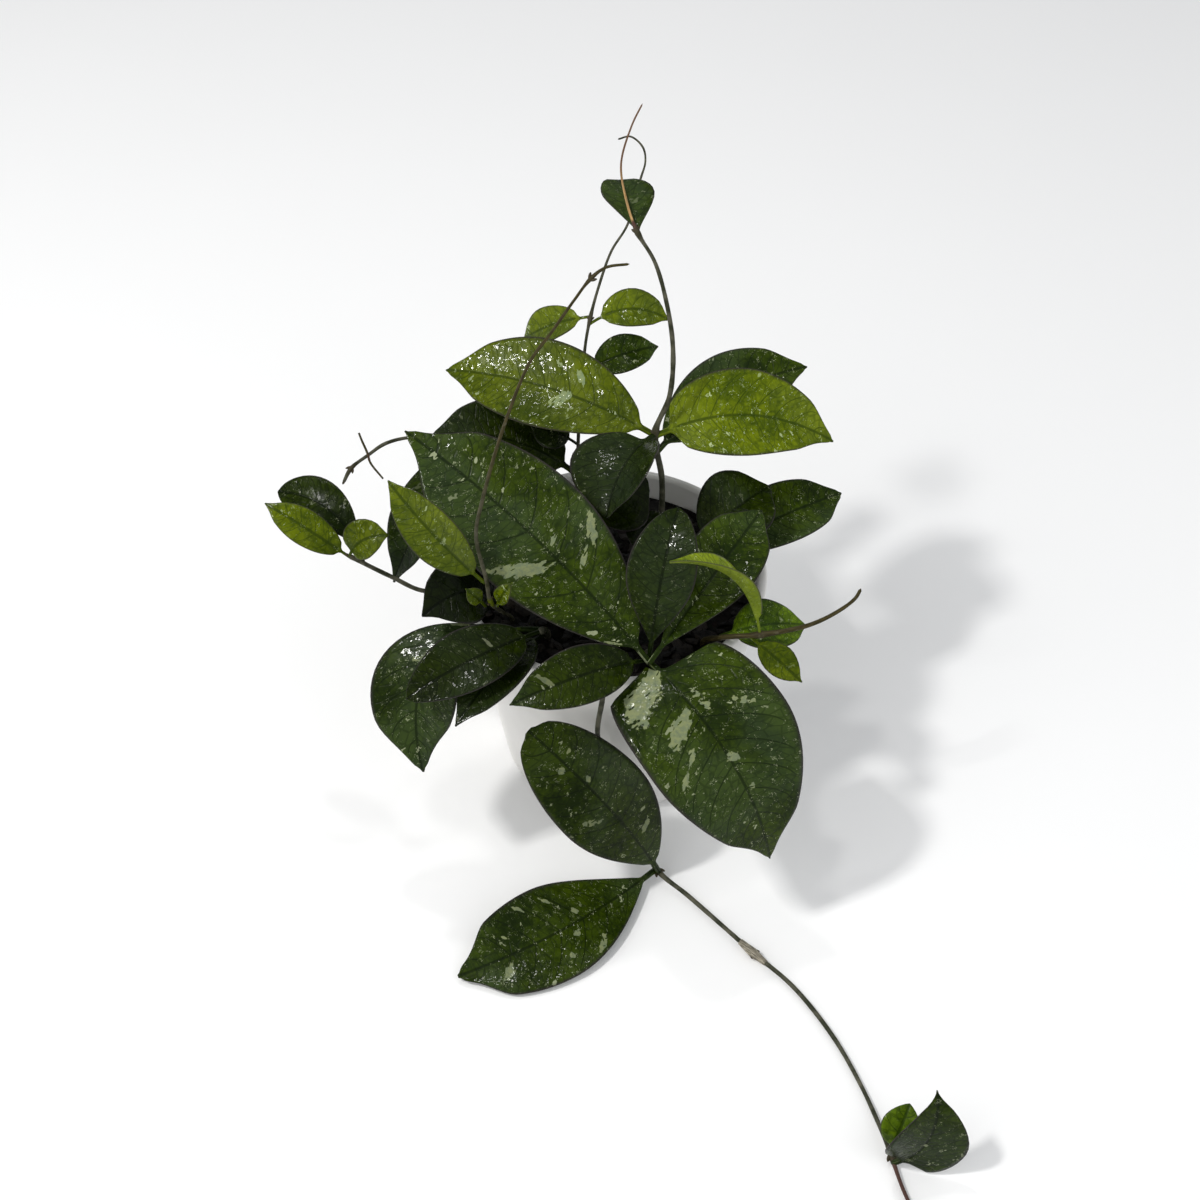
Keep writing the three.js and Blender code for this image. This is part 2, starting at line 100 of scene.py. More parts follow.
floor_material, node = shader("table_board")
grain = node("TexNoise", {"Scale": 40, "Detail": 4})
tint = node("MapRange", {"Value": grain.outputs["Fac"], "To Min": 0.93, "To Max": 0.95})
colour = node("CombineColor", {"Red": tint.outputs[0], "Green": tint.outputs[0], "Blue": tint.outputs[0]})
node("surface", {"Base Color": colour.outputs[0], "Roughness": 0.8, "Specular IOR Level": 0.2})
floor_mesh = bpy.data.meshes.new("table_top")
floor_mesh.from_pydata([(-4, -4, -2e-4), (4, -4, -2e-4), (4, 4, -2e-4), (-4, 4, -2e-4)], [], [(0, 1, 2, 3)])
floor_mesh.materials.append(floor_material)
floor = bpy.data.objects.new("table_top", floor_mesh)
bpy.context.collection.objects.link(floor)

# The pot, a plain white glazed one with a slightly widening wall and a rounded lip. The glaze is satin, a
# little uneven and has a few faint specks.


def blend(node, factor, first, second, mode="MIX"):
    """The colour between two colours, by a factor."""
    return node("Mix", {0: factor, 6: first, 7: second}, data_type="RGBA", blend_type=mode).outputs[2]


def band(node, value, low, high, start=0.0, end=1.0):
    """start where value is low, end where it is high, and a smooth step between them."""
    inputs = {"Value": value, "From Min": low, "From Max": high, "To Min": start, "To Max": end}
    return node("MapRange", inputs, interpolation_type="SMOOTHSTEP").outputs[0]


def calc(node, operation, first, second=0.0):
    """One sum of two numbers."""
    return node("Math", {0: first, 1: second}, operation=operation).outputs[0]


def put(name, points, faces, material, replaces=(), uv=None, values=(), smooth=True):
    """A piece from points in millimetres and faces of three or four corners. uv holds one pair for each
    point, and values named numbers for each point that its material reads."""
    mesh = bpy.data.meshes.new(name)
    mesh.from_pydata((points / 1000).tolist(), [], faces if isinstance(faces, list) else faces.tolist())
    corners = np.zeros(len(mesh.loops), int)
    mesh.loops.foreach_get("vertex_index", corners)
    if uv is not None:
        mesh.uv_layers.new(name="grain").data.foreach_set("uv", uv[corners].astype(np.float32).ravel())
    for key, numbers in dict(values).items():
        mesh.attributes.new(key, "FLOAT", "POINT").data.foreach_set("value", numbers.astype(np.float32))
    mesh.polygons.foreach_set("use_smooth", np.full(len(mesh.polygons), smooth))
    mesh.materials.append(material)
    mesh.validate()
    piece = bpy.data.objects.new(name, mesh)
    bpy.context.collection.objects.link(piece)
    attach(piece, "root")
    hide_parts(*replaces)
    return piece


def ring_faces(rings, around, caps=True):
    """Quads between rings of equal count, numbered ring by ring, with a flat face over each end."""
    i, j = np.meshgrid(np.arange(rings - 1), np.arange(around), indexing="ij")
    a = (i * around + j).ravel()
    b = (i * around + (j + 1) % around).ravel()
    quads = np.stack([a, b, b + around, a + around], 1).tolist()
    if caps:
        quads.append(list(range(around))[::-1])
        quads.append(list(range((rings - 1) * around, rings * around)))
    return quads


white_glaze, node = shader("white_glaze")
place = node("TexCoord").outputs["Object"]
cloud = node("TexNoise", {"Vector": place, "Scale": 30, "Detail": 3}).outputs["Fac"]
fine = node("TexNoise", {"Vector": place, "Scale": 900, "Detail": 2}).outputs["Fac"]
cells = node("TexVoronoi", {"Vector": place, "Scale": 160})
dot = band(node, cells.outputs["Distance"], 0.03, 0.08, 1, 0)
rare = calc(node, "GREATER_THAN", cells.outputs["Color"], 0.86)
glaze = blend(node, band(node, cloud, 0.3, 0.7), (0.66, 0.65, 0.625, 1), (0.74, 0.73, 0.705, 1))
glaze = blend(node, calc(node, "MULTIPLY", dot, rare), glaze, (0.5, 0.47, 0.43, 1))
relief = node("Bump", {"Height": fine, "Strength": 0.05, "Distance": 0.0003})
gloss = band(node, cloud, 0.2, 0.8, 0.28, 0.42)
node("surface", {"Base Color": glaze, "Roughness": gloss, "Normal": relief.outputs[0]})


def turned(profile, around):
    """Points of a shape turned on the Z axis from (radius, height) pairs, ring by ring."""
    turn = np.arange(around) * 2 * np.pi / around
    radius, height = profile[:, :1], profile[:, 1:]
    return np.stack([radius * np.cos(turn), radius * np.sin(turn), height + 0 * turn], -1).reshape(-1, 3)


# The wall's radius grows with height, a little faster near the rim. The lip is half a round over the wall.
foot_radius, flare, wall_top, wall_thickness = 46, 17, 98, 4
lip_radius = wall_thickness / 2
lip_middle = foot_radius + flare - lip_radius
height = np.linspace(1.5, wall_top, 24)
wall = foot_radius + flare * (0.85 * height / wall_top + 0.15 * (height / wall_top) ** 2)
round_turn = np.linspace(0, np.pi, 13)[1:-1]
lip = np.stack([lip_middle + lip_radius * np.cos(round_turn), wall_top + lip_radius * np.sin(round_turn)], 1)
foot = np.array([(0.01, 0), (44, 0), (45, 0.2), (45.7, 0.7)])
inside = np.stack([wall - wall_thickness, height], 1)[::-1][:-1]
floor_inside = np.array([(41.5, 5.2), (40, 5), (0.01, 5)])
profile = np.concatenate([foot, np.stack([wall, height], 1), lip, inside, floor_inside])
pot_sides = 128
pot_points = turned(profile, pot_sides)
put("white_pot", pot_points, ring_faces(len(profile), pot_sides), white_glaze, ["pot"])

# The potting mix: dark wet bark and fibre in a low mound a little under the rim, with bark chips on top. Its
# brown is darkened near to black, partly painted shade inside the pot.
bark_mix, node = shader("bark_mix")
place = node("TexCoord").outputs["Object"]
grit = node("TexNoise", {"Vector": place, "Scale": 500, "Detail": 6, "Roughness": 0.7}).outputs["Fac"]
lumps = node("TexVoronoi", {"Vector": place, "Scale": 260})
# wet bark brown, darkened near to black as painted shade inside the pot
brown = blend(node, band(node, grit, 0.35, 0.7), (0.0012, 0.001, 0.0008, 1), (0.009, 0.007, 0.005, 1))
pieces = blend(node, 0.5, brown, lumps.outputs["Color"], "MULTIPLY")
relief = node("Bump", {"Height": grit, "Strength": 0.7, "Distance": 0.0012})
node("surface", {"Base Color": pieces, "Roughness": 0.8, "Normal": relief.outputs[0],
                 "Specular IOR Level": 0.15})


def rumple(points, size, seed):
    """A number from about -1 to 1 for each point that rolls over about size millimetres: the mean of eight
    sine waves that run in random directions."""
    random = np.random.default_rng(seed)
    waves = random.normal(0, 2 * np.pi / size / 1.7, (8, points.shape[-1]))
    starts = random.uniform(0, 2 * np.pi, 8)
    return np.sin(points @ waves.T + starts).mean(-1) * 2.2


# The mound falls off with the square of the radius. It is rumpled twice, coarse and fine.
soil_radius, soil_top, mound, top_rings, soil_sides = 57, 91, 1.5, 70, 150
reach = np.concatenate([np.linspace(0.01, soil_radius, top_rings), [57.2, 55, 50, 42, 0.01]])
level = np.concatenate([soil_top - mound * (np.linspace(0, 1, top_rings) ** 2), [88, 60, 30, 5.6, 5.4]])
soil_points = turned(np.stack([reach, level], 1), soil_sides)
top = np.repeat(np.arange(len(reach)) < top_rings - 1, soil_sides)
lift = 1.3 * rumple(soil_points[:, :2], 14, 1) + 0.8 * rumple(soil_points[:, :2], 4, 2)
soil_points[:, 2] += np.where(top, lift, 0)
put("bark_soil", soil_points, ring_faces(len(reach), soil_sides), bark_mix, ["soil"])

# Each chip is a flattened twenty-sided lump, stretched to its own length, tilted and laid on the mound.
chip, node = shader("bark_chip")
place = node("TexCoord").outputs["Object"]
shade = node("Attribute", attribute_name="shade").outputs["Fac"]
fibre = node("TexNoise", {"Vector": place, "Scale": 700, "Detail": 5}).outputs["Fac"]
# the chips' browns are darkened near to black, partly painted shade inside the pot
brown = blend(node, shade, (0.002, 0.0017, 0.0014, 1), (0.018, 0.013, 0.008, 1))
brown = blend(node, band(node, fibre, 0.35, 0.7, 0.2, 0.9), brown, (0.2, 0.17, 0.15, 1), "MULTIPLY")
relief = node("Bump", {"Height": fibre, "Strength": 0.6, "Distance": 0.0006})
node("surface", {"Base Color": brown, "Roughness": 0.6, "Normal": relief.outputs[0],
                 "Specular IOR Level": 0.2})
random = np.random.default_rng(7)
count = 420
golden = (1 + 5**0.5) / 2
corners = np.array([(0, a, b * golden) for a in (-1, 1) for b in (-1, 1)])
corners = np.concatenate([corners, np.roll(corners, 1, 1), np.roll(corners, 2, 1)]) / 1.9
gaps = np.linalg.norm(corners[:, None] - corners[None], axis=2)
sides = [(i, j, k) for i in range(12) for j in range(i) for k in range(j)
         if gaps[i, j] < 1.2 and gaps[j, k] < 1.2 and gaps[i, k] < 1.2]
sides = np.array([s if np.linalg.det(corners[list(s)]) > 0 else s[::-1] for s in sides])
size = np.stack([random.uniform(*limits, count) for limits in ((2, 5.5), (1.4, 3.2), (0.7, 1.7))], 1)
lump = corners[None] * size[:, None] * random.uniform(0.75, 1.2, (count, 12, 1))
yaw, tilt = random.uniform(0, 2 * np.pi, count), random.normal(0, 0.35, count)
flat = np.stack([np.cos(yaw), np.sin(yaw), 0 * yaw], 1)
lean = np.stack([-np.sin(yaw) * np.cos(tilt), np.cos(yaw) * np.cos(tilt), np.sin(tilt)], 1)
frames = np.stack([flat, lean, np.cross(flat, lean)], 1)
lump = np.einsum("nvi,nij->nvj", lump, frames)
spread, where = 54 * np.sqrt(random.uniform(0, 1, count)), random.uniform(0, 2 * np.pi, count)
lying = soil_top + 0.3 - mound * (spread / soil_radius) ** 2
middle = np.stack([spread * np.cos(where), spread * np.sin(where), lying], 1)
chip_points = (lump + middle[:, None]).reshape(-1, 3)
chip_faces = (sides[None] + 12 * np.arange(count)[:, None, None]).reshape(-1, 3)
chip_shade = {"shade": np.repeat(random.uniform(0, 1, count) ** 2, 12)}
put("bark_chips", chip_points, chip_faces, chip, values=chip_shade, smooth=False)

# The stems. Bark-brown and grey-green, as thick as a matchstick at the foot and thinner towards the growing
# end, with a swollen joint where each pair of leaves stands.
stem_skin, node = shader("stem_skin")
place = node("TexCoord").outputs["Object"]
age = node("Attribute", attribute_name="age").outputs["Fac"]
joint = node("Attribute", attribute_name="joint").outputs["Fac"]
dry = node("Attribute", attribute_name="dry").outputs["Fac"]
streak = node("UVMap", uv_map="grain").outputs[0]
streaks = node("TexNoise", {"Vector": streak, "Scale": 9, "Detail": 5, "Roughness": 0.65}).outputs["Fac"]
mottle = node("TexNoise", {"Vector": place, "Scale": 260, "Detail": 4}).outputs["Fac"]
green = blend(node, band(node, mottle, 0.35, 0.65), (0.024, 0.027, 0.014, 1), (0.080, 0.078, 0.054, 1))
brown = blend(node, band(node, streaks, 0.35, 0.7), (0.022, 0.018, 0.005, 1), (0.068, 0.054, 0.018, 1))
skin = blend(node, band(node, age, 0.35, 1.0), green, brown)
skin = blend(node, calc(node, "MULTIPLY", joint, 0.7), skin, (0.040, 0.033, 0.017, 1))
tan = blend(node, band(node, streaks, 0.35, 0.7), (0.26, 0.15, 0.055, 1), (0.5, 0.32, 0.14, 1))
tan = blend(node, band(node, dry, 0.7, 1), (0.075, 0.038, 0.030, 1), tan)
skin = blend(node, band(node, dry, 0, 0.6), skin, tan)
skin = blend(node, band(node, mottle, 0.62, 0.72, 0, 0.4), skin, (0.13, 0.12, 0.08, 1))
lime = node("Attribute", attribute_name="lime").outputs["Fac"]
skin = blend(node, band(node, lime, 0.2, 0.8), skin, (0.10, 0.125, 0.006, 1))
relief = node("Bump", {"Height": streaks, "Strength": 0.5, "Distance": 0.0003}).outputs[0]
gloss = band(node, mottle, 0.2, 0.8, 0.38, 0.6)
node("surface", {"Base Color": skin, "Roughness": gloss, "Normal": relief, "Specular IOR Level": 0.12})

# Each stem: its slot, its radius at the foot and at the end, which of its points are joints, where its foot
# stands, and the points above the soil. Its first three points stand in the soil over its foot.
stems = {
    "tall_stem": ("stem", (1.3, 0.4), (4, 9,), (19, 15),
        ((20, 20, 130), (17, 28, 148), (22.5, 32, 164), (23.5, 38, 183), (20.5, 45, 201), (16, 52, 214),
            (9, 58, 224), (5, 64, 234), (3, 70, 246), (7, 76, 259), (11, 80, 266),)),
    "back_stem": ("stem", (1.1, 0.45), (4, 6,), (-14, 36),
        ((-14, 44, 129), (-13, 52, 143), (-11, 64, 164), (-9, 69, 174), (-5.5, 73, 187), (-0.5, 80, 199),
            (6, 87, 207), (11, 96, 222), (13, 100, 228), (12, 102, 233), (7, 102, 238), (2, 100, 238),)),
    "front_runner": ("runner", (1.15, 0.6), (4, 12,), (-40, -20),
        ((-43, -31, 106), (-47, -41, 122), (-48, -44, 137), (-51, -42, 158), (-48, -40, 174),
            (-40, -36, 203), (-29, -33, 233), (-22, -31, 243), (-14, -30, 256), (-8, -28, 264),
            (-3, -26, 267), (5, -24, 267),)),
    "left_arching_stem": ("stem", (1.3, 0.8), (8,), (-34, 18),
        ((-48, 24, 120), (-66, 30, 141), (-79, 28, 146), (-90, 22, 148), (-97, 17, 146), (-103, 9, 146),
            (-106, 5, 142),)),
    "left_stem": ("stem", (1.3, 1), (6,), (-43, 0),
        ((-53, -13, 105), (-74, -22, 109), (-87, -22, 117), (-104, -18, 125),)),
    "trailing_stem": ("stem", (1.3, 0.9), (10, 12, 17,), (-4, -44),
        ((-3, -54, 99), (-3, -61, 103), (-4, -68, 97), (-6, -68, 76), (-2, -62, 50), (6, -60, 24),
            (13, -69, 7), (19, -80, 4), (31, -91, 2), (56, -119, 2.1), (71, -135, 1.8), (85, -158, 1.6),
            (94, -180, 1.5), (100, -200, 1.6), (102, -209, 2), (105, -222, 1.5), (111, -240, 1.3),)),
    "right_runner": ("runner", (1.2, 0.6), (5,), (36, -32),
        ((41, -41, 102), (47, -45, 107), (57, -46, 109), (75, -45, 113), (86, -41, 116), (94, -35, 118),
            (96, -33, 121),)),
    "centre_stem": ("stem", (1.7, 1.5), (), (14, -38),
        ((14, -47, 97), (14, -56, 104),)),
    "left_low_stem": ("stem", (1.6, 1.4), (), (-26, -28),
        ((-27, -34, 99), (-28, -43, 108),)),
    "right_back_stem": ("stem", (1.5, 1.3), (), (31, 4),
        ((32, 4, 100), (33, 4, 110),)),
    "middle_stem": ("stem", (1.4, 1.2), (), (-16, 0),
        ((-18, 4, 104), (-20, 10, 122),)),
}


def smooth_line(points, per_span):
    """A line of short steps through every point: a cubic over each span whose slopes weigh the neighbouring
    spans by the square root of their lengths. Returns the places and how far along each point lies."""
    ends = np.concatenate([2 * points[:1] - points[1:2], points, 2 * points[-1:] - points[-2:-1]])
    p0, p1, p2, p3 = ends[:-3], ends[1:-2], ends[2:-1], ends[3:]
    root = np.linalg.norm(np.diff(ends, axis=0), axis=1)[:, None] ** 0.5
    d0, d1, d2 = root[:-2], root[1:-1], root[2:]
    slope1 = ((p1 - p0) / d0 - (p2 - p0) / (d0 + d1) + (p2 - p1) / d1) * d1
    slope2 = ((p2 - p1) / d1 - (p3 - p1) / (d1 + d2) + (p3 - p2) / d2) * d1
    t = np.arange(per_span)[:, None, None] / per_span
    cubic = p1 + slope1 * t + (3 * (p2 - p1) - 2 * slope1 - slope2) * t**2
    cubic = cubic + (2 * (p1 - p2) + slope1 + slope2) * t**3
    places = np.concatenate([cubic.transpose(1, 0, 2).reshape(-1, 3), points[-1:]])
    distance = np.concatenate([[0], np.cumsum(np.linalg.norm(np.diff(places, axis=0), axis=1))])
    return places, distance, distance[::per_span]


def tube(places, radius, around=14):
    """Rings round a line. Each ring is set square to the line from one fixed direction."""
    along = np.gradient(places, axis=0)
    along /= np.linalg.norm(along, axis=1)[:, None]
    across = np.cross(along, (0.3, 1, 0.2))
    across /= np.linalg.norm(across, axis=1)[:, None]
    over = np.cross(along, across)
    turn = np.arange(around) * 2 * np.pi / around
    spread = across[:, None] * np.cos(turn)[None, :, None] + over[:, None] * np.sin(turn)[None, :, None]
    return (places[:, None] + spread * radius[:, None, None]).reshape(-1, 3)


# How stout each stem is, as a share of its radius, and from which of its points on it is thin and bare.
bare_from = {"tall_stem": 9, "trailing_stem": 17}
girth = {"tall_stem": 1.2, "back_stem": 0.85, "front_runner": 0.8, "right_runner": 1.15,
         "left_arching_stem": 0.8, "left_stem": 0.85, "trailing_stem": 0.88}
around = 14
lines = {}
for seed, (name, (slot, radius, joints, (x, y), above)) in enumerate(stems.items()):
    points = np.array([(x, y, 66), (x, y, 78), (x, y, 90), *above], float)
    places, distance, at_point = smooth_line(points, 10)
    share = distance / distance[-1]
    thick = radius[0] + (radius[1] - radius[0]) * share
    near = np.array([np.exp(-(((distance - at_point[i]) / 3) ** 2)) for i in joints] or [0 * distance]).max(0)
    lines[name] = places, distance, at_point, thick + 0.5 * near
    # the skin rolls a little, and the end is rounded over its last radius
    rounding = np.sqrt(np.clip((distance[-1] - distance) / radius[1], 0.02, 1))
    share_of = girth.get(name, 1)
    stout, bare, lime = thick * share_of, 0 * distance, 0 * distance
    older = np.full(len(places), 0.9 if slot == "runner" else 0.3)
    if name in bare_from:
        past = distance - at_point[bare_from[name]]
        stout = np.where(past > 0, 0.82 * thick, stout)
        duller = 1 - 0.22 * np.clip((distance - at_point[-4]) / 15, 0, 1)
        bare = np.clip(past / 5, 0, 1) * (0.65 if name == "trailing_stem" else duller)
    if name == "front_runner":
        older = 0.55 + 0.35 * np.clip((distance - at_point[6]) / (at_point[8] - at_point[6]), 0, 1)
        lime = np.exp(-(((distance - at_point[4]) / 4) ** 2))
    roll = 1 + 0.06 * rumple(places, 9, seed + 20)
    rolled = (stout + 0.5 * near * min(share_of, 1) ** 3) * roll * rounding
    round_it = np.tile(np.arange(around) / around * 0.6, len(places))
    uv = np.stack([round_it, np.repeat(distance / 60, around)], 1)
    values = {"age": older, "joint": near, "dry": bare, "lime": lime}
    values = {key: np.repeat(numbers, around) for key, numbers in values.items()}
    rings = tube(places, rolled, around)
    put(name + "_bark", rings, ring_faces(len(places), around), stem_skin, [name], uv, values)

# Small things on the stems: the fine tendril of the arching stem, buds at the joints and at the ends of some
# stems, and the dry papery sheath half way along the stem that lies on the table.
dry_sheath, node = shader("dry_sheath")
streak = node("UVMap", uv_map="grain").outputs[0]
fibre = node("TexNoise", {"Vector": streak, "Scale": 30, "Detail": 5, "Roughness": 0.7}).outputs["Fac"]
straw = blend(node, band(node, fibre, 0.42, 0.58), (0.045, 0.036, 0.022, 1), (0.42, 0.38, 0.29, 1))
relief = node("Bump", {"Height": fibre, "Strength": 0.8, "Distance": 0.0004}).outputs[0]
node("surface", {"Base Color": straw, "Roughness": 0.6, "Normal": relief})

# the tendril is thinner at both ends and has a small tan swelling half way
points = np.array([(-100, 20, 155), (-99, 19, 152), (-97, 17, 147), (-96, 15, 144), (-91, 11, 139)], float)
places, distance, _ = smooth_line(points, 8)
share = distance / distance[-1]
thin = 0.5 - 0.2 * np.abs(share - 0.45)
flat_uv = np.stack([np.tile(np.arange(10) / 10, len(places)), np.repeat(distance / 20, 10)], 1)
withered = np.repeat(0.35 * np.exp(-(((share - 0.5) / 0.1) ** 2)), 10)
values = {"age": np.full(len(flat_uv), 0.8), "joint": np.zeros(len(flat_uv)), "dry": withered}
rings = tube(places, thin, 10)
put("left_tendril", rings, ring_faces(len(places), 10), stem_skin, (), flat_uv, values)

places, distance, at_point, thick = lines["trailing_stem"]
wrapped = np.abs(distance - at_point[12] + 1) < 8
share = (distance[wrapped] - at_point[12] + 9) / 16
swell = thick[wrapped] + 0.1 + 0.35 * np.sin(np.pi * share)
flat_uv = np.stack([np.tile(np.arange(14) / 14, len(share)), np.repeat(share / 6, 14)], 1)
rings = tube(places[wrapped], swell)
put("dry_sheath", rings, ring_faces(len(share), 14), dry_sheath, (), flat_uv)

# a bud is a short spindle whose radius follows the square root of a sine
buds = []
sizes = {"tall_stem": 1.4, "trailing_stem": 1.7, "left_stem": 1.5, "back_stem": 1.0, "front_runner": 1.3,
         "left_arching_stem": 1.2, "right_runner": 1.0}
for name, size in sizes.items():
    places, distance, at_point, thick = lines[name]
    ends = [distance[-1] - 1] if name in ("left_arching_stem", "right_runner", "trailing_stem") else []
    for down in [at_point[i] for i in stems[name][2]] + ends:
        i = np.searchsorted(distance, down)
        ahead = places[min(i + 1, len(places) - 1)] - places[i - 1]
        beside = np.cross(ahead, (0.2, -0.6, 1))
        for way in (-1, 1) if down < distance[-1] - 2 else (0,):
            out = way * beside / np.linalg.norm(beside)
            heading = ahead / np.linalg.norm(ahead) + 0.6 * out
            middle = places[i] + out * thick[i] * 0.7
            reach = np.linspace(-0.7, 1, 8)[:, None] * size
            round_off = size * 0.42 * np.sqrt(np.sin(np.pi * np.linspace(0.03, 0.97, 8)))
            buds += [tube(middle + heading * reach, round_off, 8)]
many_faces = [[64 * k + corner for corner in face] for k in range(len(buds)) for face in ring_faces(8, 8)]
bud_points = np.concatenate(buds)
values = {"age": 0.6, "joint": 0.5, "dry": 0.15}
values = {key: np.full(len(bud_points), number) for key, number in values.items()}
put("stem_buds", bud_points, many_faces, stem_skin, (), bud_points[:, :2] / 60, values)

# The leaves. Each is one thick waxy blade on a short stalk, with a sunken midrib, a few side veins that bend
# forward to the edge, and cream flecks and splashes. The young ones are lime green.


def leaf_skin(name, coat, deep, light, vein, fleck, cream, silver_and_sheen, back):
    """A leaf's material. Its veins follow the number rank, which passes a whole number at each side vein. Its
    flecks are cells, a little stretched. A splash is where the number patch, roughened, passes a half. coat
    is how wet it is, silver_and_sheen how strong its paler grey-blue clouds are, partly the leaf's own
    silvering and partly painted sheen, and back the colour of its underside."""
    material, node = shader(name)
    grain = node("UVMap", uv_map="grain").outputs[0]
    place = node("TexCoord").outputs["Object"]
    read = {key: node("Attribute", attribute_name=key).outputs["Fac"] for key in
            ("rank", "rim", "patch", "under", "middle", "age_and_shade", "speckle")}
    rough = node("TexNoise", {"Vector": grain, "Scale": 60, "Detail": 4}).outputs["Fac"]
    cloud = node("TexNoise", {"Vector": place, "Scale": 45, "Detail": 4, "Roughness": 0.6}).outputs["Fac"]
    wobble = calc(node, "MULTIPLY", calc(node, "SUBTRACT", cloud, 0.5), 0.22)
    # side veins and the fine net between them
    off_vein = calc(node, "PINGPONG", calc(node, "ADD", read["rank"], wobble), 0.5)
    side = band(node, off_vein, 0.01, 0.045, 1, 0)
    side = calc(node, "MULTIPLY", side, band(node, read["rim"], 0.8, 0.97, 1, 0))
    net = node("TexVoronoi", {"Vector": grain, "Scale": 34}, feature="DISTANCE_TO_EDGE").outputs["Distance"]
    net = band(node, net, 0.02, 0.09, 1, 0)
    midrib = band(node, read["middle"], 0.35, 0.85, 1, 0)
    veins = calc(node, "MAXIMUM", calc(node, "MAXIMUM", side, calc(node, "MULTIPLY", net, 0.5)), midrib)
    # the green, cloudy and finely mottled
    mottle = node("TexNoise", {"Vector": place, "Scale": 420, "Detail": 4, "Roughness": 0.7}).outputs["Fac"]
    amount = calc(node, "ADD", calc(node, "MULTIPLY", cloud, 0.62), calc(node, "MULTIPLY", mottle, 0.43))
    green = blend(node, band(node, amount, 0.4, 0.65), deep, light)
    # paler grey-blue clouds: partly the leaf's own silvering and partly painted sheen of soft light mirrored
    # off the wax
    silver_sheen_cloud = node("TexNoise", {"Vector": place, "Scale": 24, "Detail": 3}).outputs["Fac"]
    paler = (light[0] * 1.05, light[1], light[2] * 12, 1)
    green = blend(node, band(node, silver_sheen_cloud, 0.46, 0.62, 0, silver_and_sheen), green, paler)
    green = blend(node, calc(node, "MULTIPLY", veins, 0.7), green, vein)
    # flecks of three sizes, only in some of the cells, more where the cloud is thick
    flecks = None
    for scale, long, least, share in ((80, 1.5, 0.62, 0.95), (42, 1.3, 0.78, 1.5), (19, 1.2, 0.84, 1.4)):
        spread = node("VectorMath", {0: grain, 1: (long, 1, 1)}, operation="MULTIPLY").outputs[0]
        warp = node("TexNoise", {"Vector": spread, "Scale": scale * 2}).outputs["Color"]
        cells = node("TexVoronoi", {"Vector": blend(node, 0.045, spread, warp), "Scale": scale})
        pick = node("SeparateColor", {0: cells.outputs["Color"]})
        size = calc(node, "MULTIPLY", calc(node, "SUBTRACT", pick.outputs[0], least), share)
        inside = calc(node, "SUBTRACT", size, cells.outputs["Distance"])
        strength = band(node, pick.outputs[1], 0, 1, 0.45, 1)
        dots = calc(node, "MULTIPLY", band(node, inside, -0.02, 0.02), strength)
        flecks = dots if flecks is None else calc(node, "MAXIMUM", flecks, dots)
    flecks = calc(node, "MULTIPLY", flecks, band(node, amount, 0.38, 0.48))
    flecks = calc(node, "MULTIPLY", flecks, read["speckle"])
    pale = blend(node, 1, cream, (1.4, 1.38, 1.75, 1), "MULTIPLY")
    green = blend(node, calc(node, "MULTIPLY", flecks, fleck), green, pale)
    # splashes, crisp at the edge and with green flecks left in them
    slit = node("VectorMath", {0: grain, 1: (0.6, 1.5, 1)}, operation="MULTIPLY").outputs[0]
    slit = node("TexVoronoi", {"Vector": slit, "Scale": 45})
    hole = band(node, slit.outputs["Distance"], 0.12, 0.24, 1, 0)
    hole = calc(node, "MULTIPLY", hole, calc(node, "GREATER_THAN", slit.outputs["Color"], 0.45))
    torn = calc(node, "ADD", read["patch"], calc(node, "MULTIPLY", calc(node, "SUBTRACT", rough, 0.5), 0.9))
    torn = calc(node, "SUBTRACT", torn, calc(node, "MULTIPLY", hole, 0.9))
    splash = band(node, torn, 0.48, 0.54)
    duller = blend(node, 1, cream, (0.72, 0.78, 0.95, 1), "MULTIPLY")
    green = blend(node, splash, green, blend(node, band(node, mottle, 0.4, 0.62), duller, cream))
    # each leaf's own brightness: partly its age, partly painted shade on leaves deep in the plant and painted
    # light on leaves in the open
    green = node("VectorMath", {0: green, "Scale": read["age_and_shade"]}, operation="SCALE").outputs[0]
    # a thin grey-purple edge, partly the leaf's own margin and partly painted shade where the edge turns down,
    # and a paler, duller back
    green = blend(node, band(node, read["rim"], 0.9, 0.98, 0, 0.35), green, (0.02, 0.018, 0.02, 1))
    green = blend(node, band(node, read["rim"], 0.96, 0.995, 0, 0.8), green, (0.035, 0.028, 0.03, 1))
    green = blend(node, calc(node, "MULTIPLY", read["under"], 0.55), green, back)
    swell = calc(node, "SUBTRACT", calc(node, "MULTIPLY", mottle, 0.5), calc(node, "MULTIPLY", veins, 0.3))
    swell = calc(node, "SUBTRACT", swell, calc(node, "MULTIPLY", net, 0.25))
    relief = node("Bump", {"Height": swell, "Strength": 0.4, "Distance": 0.0006}).outputs[0]
    drops = node("TexNoise", {"Vector": place, "Scale": 210, "Detail": 2, "Roughness": 0.5}).outputs["Fac"]
    wet = node("Bump", {"Height": drops, "Strength": 0.6, "Distance": 0.0012}).outputs[0]
    dull_back = calc(node, "MULTIPLY", read["under"], 0.3)
    gloss = calc(node, "ADD", band(node, cloud, 0.3, 0.7, 0.3, 0.18), dull_back)
    node("surface", {"Base Color": green, "Roughness": gloss, "Normal": relief, "Coat Weight": coat,
                     "Coat Roughness": 0.04, "Coat Normal": wet, "Specular IOR Level": 0.04})
    return material


